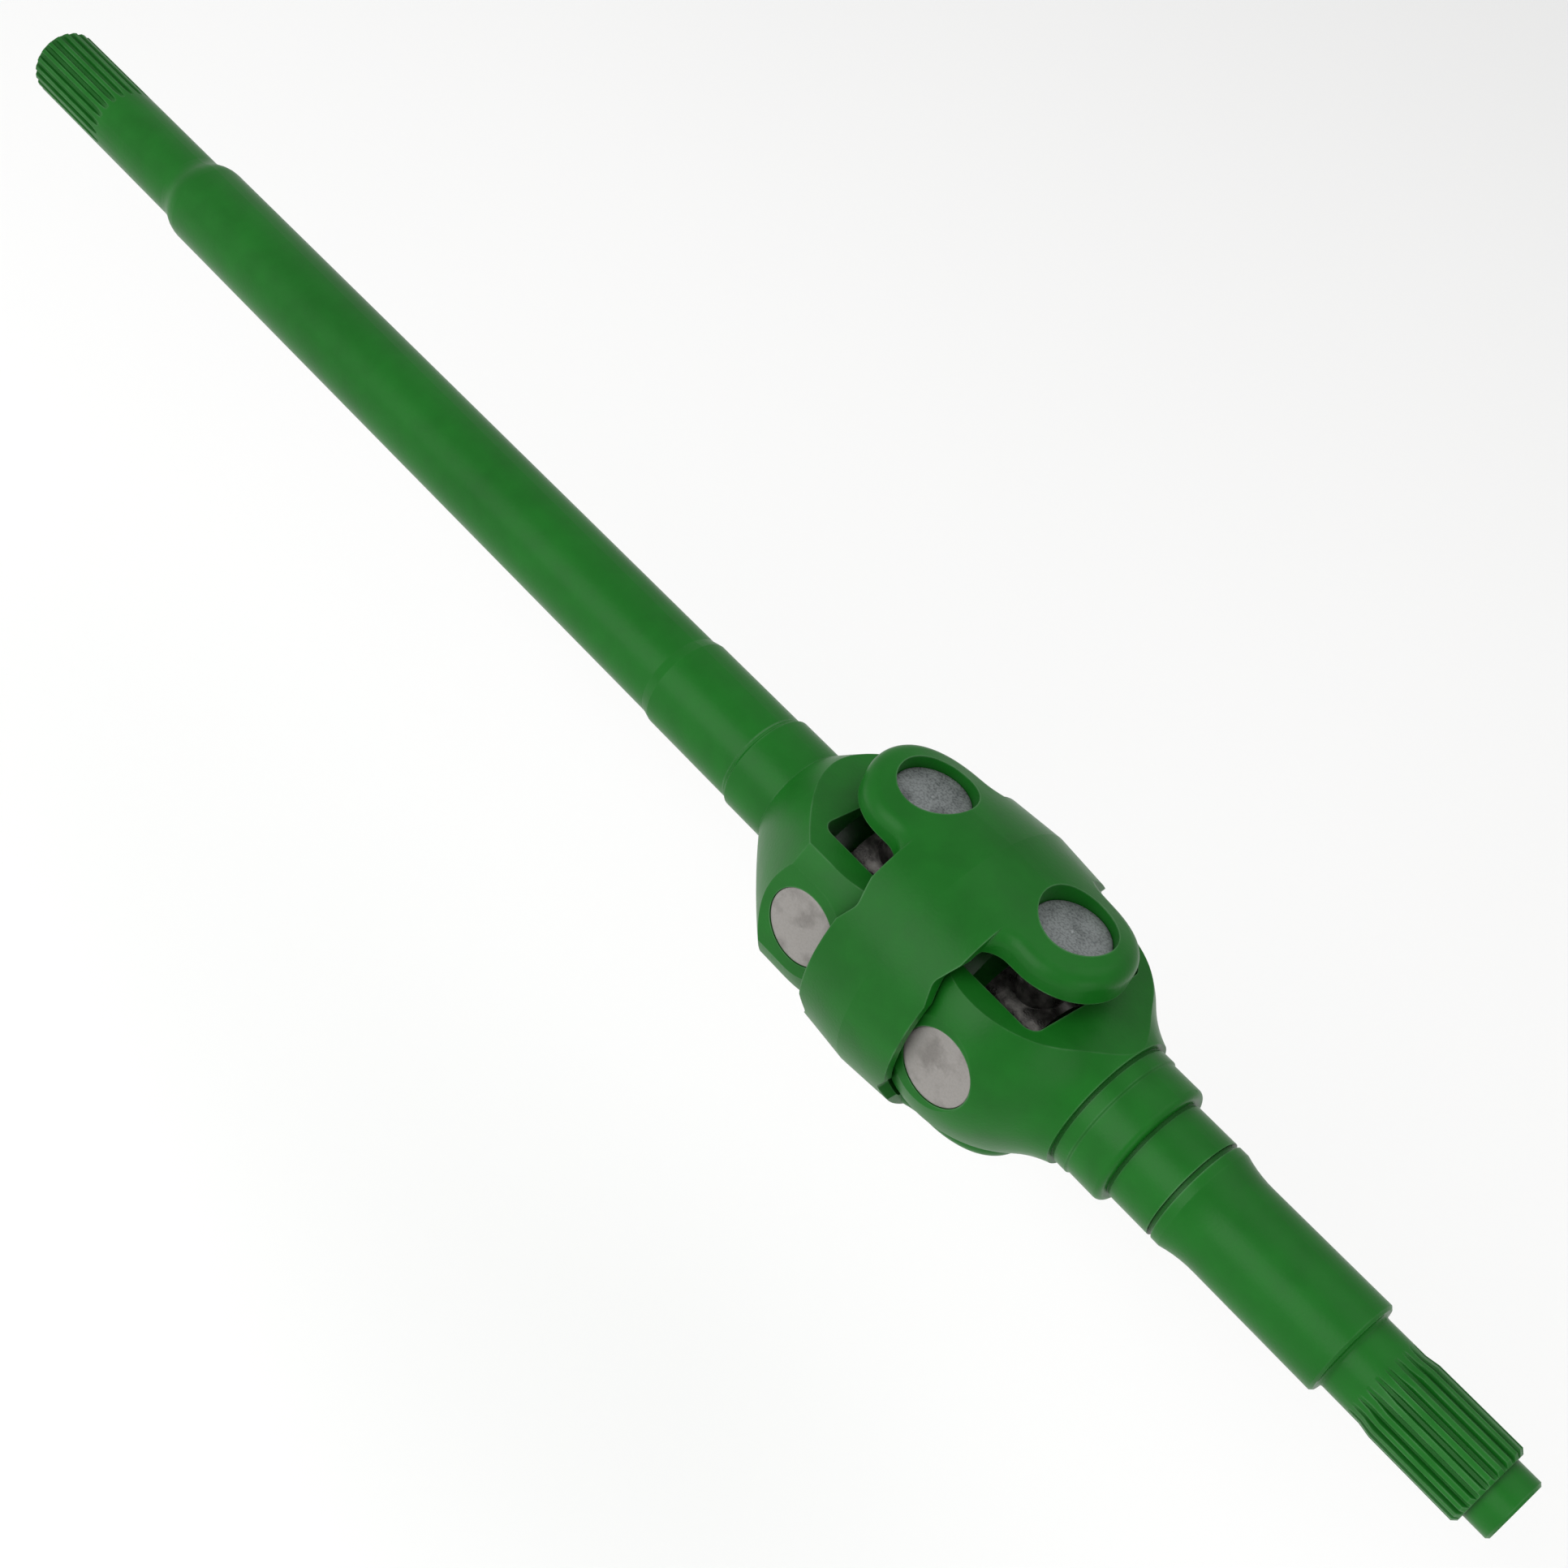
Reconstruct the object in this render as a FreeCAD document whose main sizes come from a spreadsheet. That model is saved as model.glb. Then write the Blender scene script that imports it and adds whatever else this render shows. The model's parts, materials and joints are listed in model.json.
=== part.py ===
"""Double universal joint shaft for a steered driving axle, as a parametric FreeCAD document.

Part frame, in millimetres: +X runs along the shaft towards the wheel, +Z is up, and the origin is
on the shaft axis at the bearing seat's shoulder. Two crosses stand one joint spacing apart. Each
shaft's fork holds its cross along Y, and the centre yoke holds both crosses along Z.
"""

import FreeCAD, Part
import os
import Sketcher
from FreeCAD import Placement, Rotation, Vector

SIZES = {
    # joint
    "joint_spacing": 70.2,       # from one cross centre to the other
    "bend_limit": 15.0,          # degrees that each trunnion pair can turn, each way
    "bend_gap": 1.2,             # between the two forks at full bend
    "swing_gap": 1.2,            # between a fork and the centre yoke
    # cross and its bearings
    "cross_span": 91.8,          # across the ends of two cups
    "trunnion_diameter": 18.0,
    "arm_diameter": 19.0,
    "arm_span": 66.8,            # across the shoulders of two trunnions
    "hub_diameter": 35.0,
    "hub_width": 25.0,
    "oilway_diameter": 3.0,
    "needle_diameter": 3.0,
    "needle_length": 6.6,
    "needle_count": 21,
    "needle_play": 0.02,         # radial, inside and outside the rollers
    "cup_diameter": 30.2,
    "cup_length": 11.6,
    "cup_floor": 2.5,
    "cup_chamfer": 0.6,
    "washer_thickness": 1.0,
    "washer_diameter": 17.4,
    "washer_hole": 6.0,
    "end_play": 0.05,
    "seal_height": 1.2,
    "seal_play": 0.1,
    "seal_to_needles": 0.4,
    "clip_thickness": 1.5,
    "clip_depth": 1.0,           # into the cup
    "clip_rim": 2.1,             # radial, beyond the cup
    "clip_opening": 16.0,
    "clip_clearance": 0.4,       # radial, round the clip in its seat
    "clip_seat": 36.8,           # from the cross centre to the face that the clip sits on
    "nipple_thread": 6.0,
    "nipple_reach": 26.5,        # from the cross centre to the nipple's tip
    "nipple_depth": 7.0,         # of thread in the cross
    "nipple_collar": 8.0,
    "nipple_collar_height": 3.0,
    "nipple_neck": 4.4,
    "nipple_head": 6.4,
    # forks
    "fork_radius": 50.4,
    "fork_land": 13.6,           # full-radius length beyond the cross centre
    "spot_span": 92.4,           # across the two faces round the cups
    "side_span": 57.0,           # across the two side faces
    "throat_gap": 62.0,
    "throat_depth": 18.0,
    "throat_corner": 5.0,
    "pocket_diameter": 50.0,
    "pocket_depth": 26.0,
    "pocket_corner": 4.0,
    # axle side fork
    "axle_dome_radius": 300.0,
    "axle_dome_end": 47.8,
    "collar_diameter": 41.9,
    "collar_end": 67.9,
    "weld_diameter": 39.6,
    "weld_bevel": 1.2,
    "weld_plane": 70.3,          # from the cross centre to the friction weld
    # axle bar
    "weld_length": 44.5,
    "bar_cone": 4.5,
    "bar_diameter": 37.4,
    "bar_length": 324.0,
    "flare_length": 14.0,
    "shank_diameter": 31.1,
    "shank_length": 51.6,
    "axle_spline_length": 53.2,
    "axle_spline_root": 28.3,
    "axle_space_length": 45.0,   # full-depth length of a tooth space
    # wheel side fork and stub shaft
    "wheel_dome_radius": 45.4,
    "wheel_dome_end": 29.0,
    "wheel_dome_diameter": 74.0,
    "lip_sweep": 37.0,
    "lip_diameter": 56.8,
    "shoulder_plane": 64.4,      # from the cross centre to the bearing seat's shoulder
    "journal_length": 21.8,
    "journal_band": 5.2,
    "band_diameter": 52.8,
    "journal_diameter": 51.36,
    "journal_round": 2.6,
    "undercut": 0.4,
    "undercut_width": 1.2,
    "seat_diameter": 42.8,
    "seat_length": 19.0,
    "ring_groove_width": 1.9,
    "ring_groove_diameter": 40.2,
    "land_length": 3.6,
    "taper_length": 13.7,
    "stub_diameter": 38.66,
    "stub_length": 53.6,
    "stub_chamfer": 1.0,
    "neck_diameter": 30.8,
    "neck_length": 17.3,
    "neck_fillet": 1.5,
    "ramp_length": 5.0,
    "wheel_spline_diameter": 32.5,
    "wheel_spline_length": 36.2,
    "wheel_spline_root": 29.2,
    "wheel_space_length": 40.2,  # full-depth length of a tooth space
    "pilot_diameter": 25.0,
    "pilot_length": 10.3,
    "pilot_chamfer": 1.0,
    # splines
    "spline_teeth": 22,
    "space_mouth": 2.7,          # width of a tooth space at the tooth tips
    "space_floor": 1.3,          # width of a tooth space at the root
    "hob_radius": 24.0,
    "spline_chamfer": 1.5,
    # centre yoke
    "ring_diameter": 110.8,
    "ring_edge_diameter": 107.4,
    "ring_width": 44.6,
    "dip_height": 28.0,          # from the shaft axis to the dips in the ring's edges
    "dip_reach": 8.0,            # from a dip's middle to its ends
    "dip_depth": 3.2,
    "dip_blend": 1.5,
    "lug_width": 50.0,
    "lug_root_radius": 9.0,
    "lug_root_turn": 62.0,       # degrees that the root's curve turns before the ring's edge
    "lug_edge_radius": 6.5,
    "lug_inner_span": 76.0,      # across the lugs' inner faces, beside the clip bosses
    "boss_rim": 1.0,             # radial, beyond the clip
    # how far cutting shapes run past the metal
    "overcut": 3.0,
}

doc = FreeCAD.newDocument("universal_joint_shaft")
sheet = doc.addObject("Spreadsheet::Sheet", "sizes")
for row, (alias, size) in enumerate(SIZES.items(), start=1):
    sheet.set(f"A{row}", alias)
    sheet.set(f"B{row}", str(size))
    sheet.setAlias(f"B{row}", alias)
doc.recompute()


def value(expression):
    """The number that an expression on the sheet gives now."""
    return float(sheet.evalExpression(expression))


# Derived distances, as expressions on the sheet
LEAN = "(sizes.bend_limit * 1 deg)"
HALF_SPACING = "sizes.joint_spacing / 2"
FAR = "(sizes.fork_radius + 20)"                 # clear of every fork
CUP_END = "sizes.cross_span / 2"
CUP_MOUTH = "(sizes.cross_span / 2 - sizes.cup_length)"
RACE_RADIUS = "(sizes.trunnion_diameter / 2 + sizes.needle_diameter + 2 * sizes.needle_play)"
TRUNNION_END = "(sizes.cross_span / 2 - sizes.cup_floor - sizes.washer_thickness - 2 * sizes.end_play)"
CLIP_RADIUS = "(sizes.cup_diameter / 2 + sizes.clip_rim)"
SWING_RADIUS = "(sizes.fork_radius + sizes.swing_gap)"
NEEDLE_START = "(sizes.arm_span / 2 + 2 * sizes.end_play + sizes.seal_height + sizes.seal_to_needles)"


# Sketch and feature helpers

def bind_point(sketch, edge, end, across, up):
    """Hold one end of an edge at a place given by two expressions."""
    for kind, text, axis in (("DistanceX", across, -2), ("DistanceY", up, -1)):
        number = value(text)
        if abs(number) < 1e-9:
            sketch.addConstraint(Sketcher.Constraint("PointOnObject", edge, end, axis))
            continue
        index = sketch.addConstraint(Sketcher.Constraint(kind, -1, 1, edge, end, number))
        sketch.setExpression(f"Constraints[{index}]", text)


def arc_between(start, end, radius, turn):
    """The short arc from start to end, turning left (+1) or right (-1)."""
    chord = end - start
    middle = (start + end) * 0.5
    rise = max(radius * radius - chord.Length ** 2 / 4, 0.0) ** 0.5
    side = Vector(-chord.y, chord.x, 0).normalize() * turn
    centre = middle + side * rise
    crest = centre - side * radius
    return Part.Arc(start, crest, end)


def outline(sketch, corners):
    """Draw one closed outline. A corner is (across, up), or (across, up, radius, turn) where an
    arc leads to it; all but turn are expressions."""
    places = [Vector(value(c[0]), value(c[1]), 0) for c in corners]
    first = sketch.GeometryCount
    turns = {}
    for i, corner in enumerate(corners):
        start, end = places[i - 1], places[i]
        if len(corner) == 4:
            arc = arc_between(start, end, value(corner[2]), corner[3])
            sketch.addGeometry(arc, False)
            turns[i] = corner[3]
        else:
            sketch.addGeometry(Part.LineSegment(start, end), False)
    count = len(corners)
    # an arc that turns right is stored the other way round
    head = {i: 1 if turns.get(i) == -1 else 2 for i in range(count)}
    tail = {i: 3 - head[i] for i in range(count)}
    for i, corner in enumerate(corners):
        edge = first + i
        following = (i + 1) % count
        sketch.addConstraint(
            Sketcher.Constraint("Coincident", edge, head[i], first + following, tail[following])
        )
        bind_point(sketch, edge, head[i], corner[0], corner[1])
        if i in turns:
            index = sketch.addConstraint(Sketcher.Constraint("Radius", edge, value(corner[2])))
            sketch.setExpression(f"Constraints[{index}]", corner[2])


def circle(sketch, across, up, radius):
    """Draw a circle; its centre and radius are expressions."""
    place = Vector(value(across), value(up), 0)
    edge = sketch.addGeometry(Part.Circle(place, Vector(0, 0, 1), value(radius)), False)
    bind_point(sketch, edge, 3, across, up)
    index = sketch.addConstraint(Sketcher.Constraint("Radius", edge, value(radius)))
    sketch.setExpression(f"Constraints[{index}]", radius)


def origin_plane(body, role):
    return next(f for f in body.Origin.OriginFeatures if f.Role == role)


def new_body(label):
    body = doc.addObject("PartDesign::Body", label)
    body.Label = label
    return body


def new_sketch(body, name, role):
    sketch = body.newObject("Sketcher::SketchObject", name)
    sketch.AttachmentSupport = (origin_plane(body, role), "")
    sketch.MapMode = "FlatFace"
    return sketch


def revolve(body, name, corners, role="XZ_Plane", kind="PartDesign::Revolution", axis="H_Axis"):
    """A turned shape, or with kind Groove a turned cut, about the sketch's own axis."""
    sketch = new_sketch(body, name + "_sketch", role)
    outline(sketch, corners)
    feature = body.newObject(kind, name)
    feature.Profile = sketch
    feature.ReferenceAxis = (sketch, [axis])
    feature.Angle = 360
    sketch.Visibility = False
    doc.recompute()
    return feature


def pad(body, name, sketch, length):
    """A pad of the whole length, half on each side of the sketch."""
    feature = body.newObject("PartDesign::Pad", name)
    feature.Profile = sketch
    feature.Midplane = True
    feature.setExpression("Length", length)
    sketch.Visibility = False
    doc.recompute()
    return feature


def pocket(body, name, sketch, length=None, reversed_way=False, midplane=False):
    """A pocket of one length from the sketch or about it, or with no length right through."""
    feature = body.newObject("PartDesign::Pocket", name)
    feature.Profile = sketch
    if length is None:
        feature.Type = "ThroughAll"
        feature.Midplane = True
    else:
        feature.Type = "Length"
        feature.setExpression("Length", length)
        feature.Reversed = reversed_way
        feature.Midplane = midplane
    sketch.Visibility = False
    before = feature.BaseFeature.Shape.Volume
    doc.recompute()
    if feature.Shape.Volume > before - 1e-3:
        raise RuntimeError(f"{name} cuts nothing")
    return feature


def pattern(body, name, originals, count):
    """Repeat features evenly about the X axis."""
    feature = body.newObject("PartDesign::PolarPattern", name)
    feature.Originals = originals
    axis = next(f for f in body.Origin.OriginFeatures if f.Role == "X_Axis")
    feature.Axis = (axis, [""])
    feature.Angle = 360
    feature.setExpression("Occurrences", count)
    body.Tip = feature
    doc.recompute()
    return feature


def mirrored(body, name, originals, role):
    feature = body.newObject("PartDesign::Mirrored", name)
    feature.Originals = originals
    feature.MirrorPlane = (origin_plane(body, role), [""])
    body.Tip = feature
    doc.recompute()
    return feature


def place(item, base, rotation=Rotation()):
    """Stand an object at base, three expressions, turned by a fixed rotation."""
    item.Placement = Placement(Vector(*(value(text) for text in base)), rotation)
    for axis, text in zip("xyz", base):
        if text != "0":
            item.setExpression(f"Placement.Base.{axis}", text)


# Where the two crosses and the centre of the joint lie along X
WHEEL_CROSS = "-sizes.shoulder_plane"
JOINT_CENTRE = "(-sizes.shoulder_plane - sizes.joint_spacing / 2)"
AXLE_CROSS = "(-sizes.shoulder_plane - sizes.joint_spacing)"
HALF_TURN = Rotation(Vector(0, 0, 1), 180)
NOTCH = Rotation(Vector(1, 0, 0), -45)           # into the notch between two arms of a cross
HOB_SWEEP = 30                                   # degrees, enough for a hob to leave the shaft


# Forks and shafts

def spline(body, name, outer, root, end, straight):
    """Tooth spaces cut from the shaft's end face, each running out on the hob's radius."""
    sides = [
        ("-sizes.space_floor / 2", f"{root} / 2"),
        ("sizes.space_floor / 2", f"{root} / 2"),
        ("sizes.space_mouth / 2", f"{outer} / 2"),
        ("sizes.space_mouth", f"{outer} / 2 + sizes.overcut"),
        ("-sizes.space_mouth", f"{outer} / 2 + sizes.overcut"),
        ("-sizes.space_mouth / 2", f"{outer} / 2"),
    ]
    space_sketch = new_sketch(body, name + "_space_sketch", "YZ_Plane")
    space_sketch.setExpression("AttachmentOffset.Base.z", f"{end} + sizes.overcut")
    doc.recompute()
    outline(space_sketch, sides)
    space = pocket(body, name + "_space", space_sketch, f"{straight} + sizes.overcut")
    runout_sketch = new_sketch(body, name + "_runout_sketch", "YZ_Plane")
    runout_sketch.setExpression("AttachmentOffset.Base.z", f"{end} - {straight}")
    doc.recompute()
    outline(runout_sketch, sides)
    hob_height = f"{root} / 2 + sizes.hob_radius"
    hob_ends = [Vector(value(across), value(hob_height), 0)
                for across in ("-sizes.overcut", "sizes.overcut")]
    hob = runout_sketch.addGeometry(Part.LineSegment(*hob_ends), True)
    bind_point(runout_sketch, hob, 1, "-sizes.overcut", hob_height)
    bind_point(runout_sketch, hob, 2, "sizes.overcut", hob_height)
    runout = body.newObject("PartDesign::Groove", name + "_runout")
    runout.Profile = runout_sketch
    runout.ReferenceAxis = (runout_sketch, ["Axis0"])
    runout.Angle = HOB_SWEEP
    before = runout.BaseFeature.Shape.Volume
    doc.recompute()
    if runout.Shape.Volume > before - 1e-3:
        runout.Reversed = True
        doc.recompute()
    runout_sketch.Visibility = False
    return pattern(body, name, [space, runout], "sizes.spline_teeth")


def cut_fork(body):
    """Cut a turned blank into a fork: side faces, cup faces, throat, bores and clip seats. The
    cross centre is the body's origin, and the shaft leaves along +X."""
    sides = new_sketch(body, "side_faces_sketch", "XZ_Plane")
    for sign in ("", "-"):
        outline(sides, [
            (f"-{FAR}", f"{sign}sizes.side_span / 2"),
            (FAR, f"{sign}sizes.side_span / 2"),
            (FAR, f"{sign}{FAR}"),
            (f"-{FAR}", f"{sign}{FAR}"),
        ])
    pocket(body, "side_faces", sides)

    spots = new_sketch(body, "cup_faces_sketch", "XY_Plane")
    for sign in ("", "-"):
        outline(spots, [
            (f"-{FAR}", f"{sign}sizes.spot_span / 2"),
            (FAR, f"{sign}sizes.spot_span / 2"),
            (FAR, f"{sign}{FAR}"),
            (f"-{FAR}", f"{sign}{FAR}"),
        ])
    pocket(body, "cup_faces", spots)

    # the ears' ends lean by the bend limit, so that they lie face to face at full bend
    reach = f"({HALF_SPACING} - sizes.bend_gap / 2)"
    tip_inner = f"-({reach} - sizes.throat_gap / 2 * sin({LEAN})) / cos({LEAN})"
    tip_outer = f"-({reach} - {FAR} * sin({LEAN})) / cos({LEAN})"
    throat = new_sketch(body, "throat_sketch", "XY_Plane")
    outline(throat, [
        (f"-{FAR}", FAR),
        (f"-{FAR}", f"-{FAR}"),
        (tip_outer, f"-{FAR}"),
        (tip_inner, "-sizes.throat_gap / 2"),
        ("sizes.throat_depth - sizes.throat_corner", "-sizes.throat_gap / 2"),
        ("sizes.throat_depth", "-(sizes.throat_gap / 2 - sizes.throat_corner)",
         "sizes.throat_corner", 1),
        ("sizes.throat_depth", "sizes.throat_gap / 2 - sizes.throat_corner"),
        ("sizes.throat_depth - sizes.throat_corner", "sizes.throat_gap / 2",
         "sizes.throat_corner", 1),
        (tip_inner, "sizes.throat_gap / 2"),
        (tip_outer, FAR),
    ])
    pocket(body, "throat", throat)

    # the ears' corners lean both ways, so that they clear each other when both axes bend
    bevels = new_sketch(body, "ear_corners_sketch", "XY_Plane")
    bevels.AttachmentOffset = Placement(Vector(), Rotation(Vector(0, 1, 0), 1))
    bevels.setExpression("AttachmentOffset.Rotation.Angle", LEAN)
    doc.recompute()
    outline(bevels, [
        (f"-{reach} / cos({LEAN})", "0"),
        (tip_outer, FAR),
        (f"-2 * {FAR}", FAR),
        (f"-2 * {FAR}", f"-{FAR}"),
        (tip_outer, f"-{FAR}"),
    ])
    corner = pocket(body, "ear_corners", bevels)
    mirrored(body, "ear_corners_both_ways", [corner], "XY_Plane")

    revolve(body, "cross_pocket", [
        ("0", "0"),
        ("sizes.pocket_depth", "0"),
        ("sizes.pocket_depth", "sizes.pocket_diameter / 2 - sizes.pocket_corner"),
        ("sizes.pocket_depth - sizes.pocket_corner", "sizes.pocket_diameter / 2",
         "sizes.pocket_corner", 1),
        ("0", "sizes.pocket_diameter / 2"),
    ], kind="PartDesign::Groove")

    bores = new_sketch(body, "cup_bores_sketch", "XZ_Plane")
    circle(bores, "0", "0", "sizes.cup_diameter / 2")
    pocket(body, "cup_bores", bores)

    seats = new_sketch(body, "clip_seats_sketch", "XZ_Plane")
    circle(seats, "0", "0", f"{CLIP_RADIUS} + sizes.clip_clearance")
    pocket(body, "clip_seats", seats, "2 * sizes.clip_seat", midplane=True)


def make_axle_fork():
    """The forged fork that is friction-welded to the axle bar."""
    body = new_body("axle_fork")
    revolve(body, "blank", [
        ("-sizes.fork_radius", "0"),
        ("0", "sizes.fork_radius", "sizes.fork_radius", -1),
        ("sizes.fork_land", "sizes.fork_radius"),
        ("sizes.axle_dome_end", "sizes.collar_diameter / 2", "sizes.axle_dome_radius", -1),
        ("sizes.collar_end", "sizes.collar_diameter / 2"),
        ("sizes.collar_end + sizes.weld_bevel", "sizes.weld_diameter / 2"),
        ("sizes.weld_plane", "sizes.weld_diameter / 2"),
        ("sizes.weld_plane", "0"),
    ])
    cut_fork(body)
    place(body, (AXLE_CROSS, "0", "0"), HALF_TURN)


def make_axle_bar():
    """The long bar from the friction weld to the splined end."""
    body = new_body("axle_bar")
    cone = "(sizes.weld_length + sizes.bar_cone)"
    flare = f"({cone} + sizes.bar_length)"
    shank = f"({flare} + sizes.flare_length)"
    teeth = f"({shank} + sizes.shank_length)"
    end = f"({teeth} + sizes.axle_spline_length)"
    drop = "((sizes.bar_diameter - sizes.shank_diameter) / 4)"
    sweep = f"(((sizes.flare_length / 2)^2 + {drop}^2) / (2 * {drop}))"
    revolve(body, "blank", [
        ("0", "0"),
        ("0", "sizes.weld_diameter / 2"),
        ("sizes.weld_length", "sizes.weld_diameter / 2"),
        (cone, "sizes.bar_diameter / 2"),
        (flare, "sizes.bar_diameter / 2"),
        (f"{flare} + sizes.flare_length / 2", f"sizes.bar_diameter / 2 - {drop}", sweep, -1),
        (shank, "sizes.shank_diameter / 2", sweep, 1),
        (f"{end} - sizes.spline_chamfer", "sizes.shank_diameter / 2"),
        (end, "sizes.shank_diameter / 2 - sizes.spline_chamfer"),
        (end, "0"),
    ])
    spline(body, "axle_spline", "sizes.shank_diameter", "sizes.axle_spline_root", end,
           "sizes.axle_space_length")
    place(body, (f"{AXLE_CROSS} - sizes.weld_plane", "0", "0"), HALF_TURN)


def make_wheel_fork_shaft():
    """The one-piece fork and stub shaft: seal journal, bearing seat, spline and pilot."""
    body = new_body("wheel_fork_shaft")
    lip = "(sizes.shoulder_plane - sizes.journal_length)"
    band = f"({lip} + sizes.undercut_width + sizes.journal_band)"
    groove = "(sizes.shoulder_plane + sizes.seat_length)"
    land = f"({groove} + sizes.ring_groove_width)"
    taper = f"({land} + sizes.land_length)"
    stub = f"({taper} + sizes.taper_length)"
    neck = f"({stub} + sizes.stub_length)"
    ramp = f"({neck} + sizes.neck_length)"
    teeth = f"({ramp} + sizes.ramp_length)"
    end = f"({teeth} + sizes.wheel_spline_length)"
    tip = f"({end} + sizes.pilot_length)"
    fall = "((sizes.seat_diameter - sizes.stub_diameter) / 2)"
    revolve(body, "blank", [
        ("-sizes.fork_radius", "0"),
        ("-sizes.fork_radius * sin(30 deg)", "sizes.fork_radius * cos(30 deg)",
         "sizes.fork_radius", -1),
        ("sizes.wheel_dome_end", "sizes.wheel_dome_diameter / 2", "sizes.wheel_dome_radius", -1),
        (lip, "sizes.lip_diameter / 2", "sizes.lip_sweep", 1),
        (lip, "sizes.band_diameter / 2 - sizes.undercut"),
        (f"{lip} + sizes.undercut_width", "sizes.band_diameter / 2 - sizes.undercut"),
        (f"{lip} + sizes.undercut_width", "sizes.band_diameter / 2"),
        (band, "sizes.band_diameter / 2"),
        (f"{band} + (sizes.band_diameter - sizes.journal_diameter) / 2",
         "sizes.journal_diameter / 2"),
        ("sizes.shoulder_plane - sizes.journal_round", "sizes.journal_diameter / 2"),
        ("sizes.shoulder_plane", "sizes.journal_diameter / 2 - sizes.journal_round",
         "sizes.journal_round", -1),
        ("sizes.shoulder_plane", "sizes.seat_diameter / 2 - sizes.undercut"),
        ("sizes.shoulder_plane + sizes.undercut_width", "sizes.seat_diameter / 2 - sizes.undercut"),
        ("sizes.shoulder_plane + sizes.undercut_width", "sizes.seat_diameter / 2"),
        (groove, "sizes.seat_diameter / 2"),
        (groove, "sizes.ring_groove_diameter / 2"),
        (land, "sizes.ring_groove_diameter / 2"),
        (land, "sizes.seat_diameter / 2"),
        (taper, "sizes.seat_diameter / 2"),
        (stub, "sizes.stub_diameter / 2",
         f"((sizes.taper_length^2 + {fall}^2) / (2 * {fall}))", 1),
        (f"{neck} - sizes.stub_chamfer", "sizes.stub_diameter / 2"),
        (neck, "sizes.stub_diameter / 2 - sizes.stub_chamfer"),
        (neck, "sizes.neck_diameter / 2 + sizes.neck_fillet"),
        (f"{neck} + sizes.neck_fillet", "sizes.neck_diameter / 2", "sizes.neck_fillet", 1),
        (ramp, "sizes.neck_diameter / 2"),
        (teeth, "sizes.wheel_spline_diameter / 2"),
        (f"{end} - sizes.spline_chamfer", "sizes.wheel_spline_diameter / 2"),
        (end, "sizes.wheel_spline_diameter / 2 - sizes.spline_chamfer"),
        (end, "sizes.pilot_diameter / 2"),
        (f"{tip} - sizes.pilot_chamfer", "sizes.pilot_diameter / 2"),
        (tip, "sizes.pilot_diameter / 2 - sizes.pilot_chamfer"),
        (tip, "0"),
    ])
    cut_fork(body)
    spline(body, "wheel_spline", "sizes.wheel_spline_diameter", "sizes.wheel_spline_root", end,
           "sizes.wheel_space_length")
    place(body, (WHEEL_CROSS, "0", "0"))


# Centre yoke

def make_yoke_blank():
    """The yoke's outside and cup bores: a double-cone ring with four lugs. The joint centre is the
    body's origin."""
    body = new_body("yoke_blank")
    reach = f"({HALF_SPACING} + sizes.lug_width / 2)"
    slope = "((sizes.ring_diameter - sizes.ring_edge_diameter) / sizes.ring_width)"
    reach_radius = f"(sizes.ring_diameter / 2 - {slope} * {reach})"
    revolve(body, "blank", [
        (f"-{reach}", "0"),
        (f"-{reach}", reach_radius),
        ("0", "sizes.ring_diameter / 2"),
        (reach, reach_radius),
        (reach, "0"),
    ])
    plan = new_sketch(body, "plan_sketch", "XY_Plane")
    outside = "(sizes.ring_diameter / 2 + sizes.overcut)"
    edge = "sizes.ring_width / 2"
    side = "sizes.lug_width / 2"
    turned = "(sizes.lug_root_turn * 1 deg)"
    root = f"({edge} + sizes.lug_root_radius * sin{turned})"
    root_side = f"({side} + sizes.lug_root_radius * (1 - cos{turned}))"
    for x, y in (("", ""), ("", "-"), ("-", ""), ("-", "-")):
        turn = 1 if x == y else -1
        outline(plan, [
            (f"{x}{edge}", f"{y}{outside}"),
            (f"{x}{edge}", f"{y}{root_side}"),
            (f"{x}{root}", f"{y}({side})", "sizes.lug_root_radius", turn),
            (f"{x}{HALF_SPACING}", f"{y}{side}"),
            (f"{x}{reach}", "0", side, -turn),
            (f"{x}({reach} + sizes.overcut)", "0"),
            (f"{x}({reach} + sizes.overcut)", f"{y}{outside}"),
        ])
    pocket(body, "plan", plan)
    dips = new_sketch(body, "edge_dips_sketch", "XZ_Plane")
    bottom = f"({edge} - sizes.dip_depth * (1 - sizes.dip_blend / sizes.dip_reach))"
    blend = "(sizes.dip_blend / sin(atan(sizes.dip_depth / sizes.dip_reach)))"
    for x, z in (("", ""), ("", "-"), ("-", ""), ("-", "-")):
        outline(dips, [
            (f"{x}{edge}", f"{z}(sizes.dip_height - sizes.dip_reach)"),
            (f"{x}{bottom}", f"{z}(sizes.dip_height - sizes.dip_blend)"),
            (f"{x}{bottom}", f"{z}(sizes.dip_height + sizes.dip_blend)", blend,
             -1 if x == z else 1),
            (f"{x}{edge}", f"{z}(sizes.dip_height + sizes.dip_reach)"),
            (f"{x}({edge} + sizes.overcut)", f"{z}(sizes.dip_height + sizes.dip_reach)"),
            (f"{x}({edge} + sizes.overcut)", f"{z}(sizes.dip_height - sizes.dip_reach)"),
        ])
    pocket(body, "edge_dips", dips)
    bores = new_sketch(body, "cup_bores_sketch", "XY_Plane")
    circle(bores, HALF_SPACING, "0", "sizes.cup_diameter / 2")
    circle(bores, f"-{HALF_SPACING}", "0", "sizes.cup_diameter / 2")
    pocket(body, "cup_bores", bores)
    round_lugs(body)
    return body


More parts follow.
